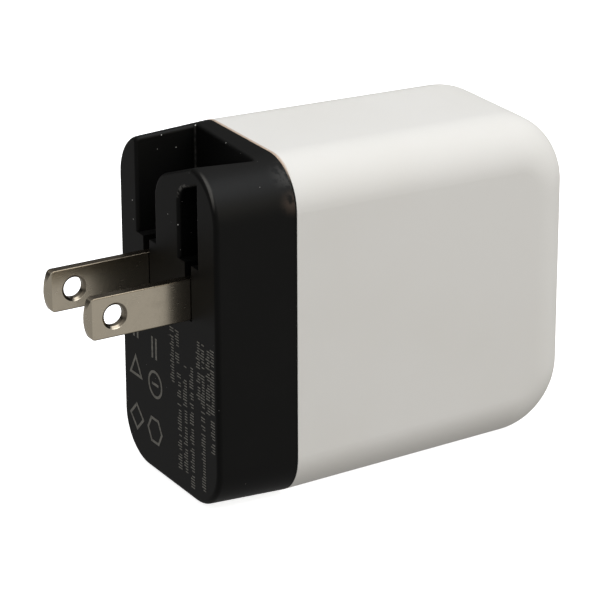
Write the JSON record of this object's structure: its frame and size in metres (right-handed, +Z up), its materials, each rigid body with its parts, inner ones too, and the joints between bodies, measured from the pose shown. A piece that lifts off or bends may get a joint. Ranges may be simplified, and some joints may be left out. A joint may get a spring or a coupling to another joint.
{
  "type": "usb wall charger",
  "caption": "Compact mains charger with folding flat blades in a recessed plug face, a finger notch beside them and stacked USB outlets at the other end.",
  "frame": {"origin": "centre of the plug face, midway between the blades at the blades' centre height", "axes": "+Y out of the plug face along the open blades, towards the wall; +Z up with the charger standing on its base; X across its width"},
  "size_m": [0.0306, 0.0786, 0.0523],
  "materials": {
    "shell_white": "warm off-white moulded plastic, satin",
    "housing_black": "fine-textured black moulded plastic",
    "blade_nickel": "satin nickel plating",
    "rotor_plastic": "black glass-filled plastic",
    "pin_steel": "ground steel",
    "spring_bronze": "bright bronze strip",
    "retainer_plastic": "black plastic",
    "screw_steel": "zinc-plated steel",
    "board_laminate": "green solder mask",
    "fuse_case": "brown plastic",
    "varistor_coat": "blue epoxy coat",
    "film_capacitor_case": "yellow plastic case",
    "ferrite": "dark sintered ferrite",
    "copper_wire": "enamelled copper",
    "package_epoxy": "black moulded epoxy",
    "bobbin_plastic": "black plastic",
    "transformer_tape": "yellow polyester tape",
    "capacitor_sleeve": "dark shrink sleeve",
    "capacitor_can": "bare can",
    "thermal_pad": "grey silicone pad",
    "spreader_metal": "mill finish",
    "insulating_film": "black film",
    "ceramic_coat": "blue coat",
    "socket_metal": "drawn steel, nickel plated",
    "socket_insert_plastic": "black plastic",
    "contact_gold": "gold plating"
  },
  "bodies": {
    "charger_body": {"bridge_rectifier": "package_epoxy", "bulk_capacitor_1": "capacitor_sleeve", "bulk_capacitor_2": "capacitor_sleeve", "bulk_capacitor_3": "capacitor_sleeve", "choke_core": "ferrite", "choke_winding_left": "copper_wire", "choke_winding_right": "copper_wire", "contact_spring_left": "spring_bronze", "contact_spring_right": "spring_bronze", "detent_spring": "spring_bronze", "fuse": "fuse_case", "heat_spreader": "spreader_metal", "input_board": "board_laminate", "insulating_sheet": "insulating_film", "main_board": "board_laminate", "optocoupler": "package_epoxy", "outlet_board": "board_laminate", "output_capacitor_1": "capacitor_can", "output_capacitor_2": "capacitor_can", "output_capacitor_3": "capacitor_can", "output_inductor": "package_epoxy", "plug_housing": "housing_black", "power_switch_chip": "package_epoxy", "protocol_chip": "package_epoxy", "rectifier_chip": "package_epoxy", "retainer_screws": "screw_steel", "rotor_retainer": "retainer_plastic", "thermal_pad": "thermal_pad", "transformer_bobbin": "bobbin_plastic", "transformer_core_left": "ferrite", "transformer_core_right": "ferrite", "transformer_tape": "transformer_tape", "transformer_winding": "copper_wire", "usb_a_contacts": "contact_gold", "usb_a_insert": "socket_insert_plastic", "usb_a_shell": "socket_metal", "usb_c_lower_contacts": "contact_gold", "usb_c_lower_insert": "socket_insert_plastic", "usb_c_lower_shell": "socket_metal", "usb_c_upper_contacts": "contact_gold", "usb_c_upper_insert": "socket_insert_plastic", "usb_c_upper_shell": "socket_metal", "varistor": "varistor_coat", "white_shell": "shell_white", "x_capacitor": "film_capacitor_case", "y_capacitor": "ceramic_coat"},
    "folding_plug": {"blade_left": "blade_nickel", "blade_right": "blade_nickel", "blade_rotor": "rotor_plastic", "pivot_pin_left": "pin_steel", "pivot_pin_right": "pin_steel"}
  },
  "joints": [
    {"name": "blade_fold", "type": "hinge", "parent": "charger_body", "child": "folding_plug", "pos_m": [0, -0.0027, -0.0034], "axis": [1, 0, 0], "range_deg": [0, 90], "deforming": ["detent_spring"]}
  ]
}
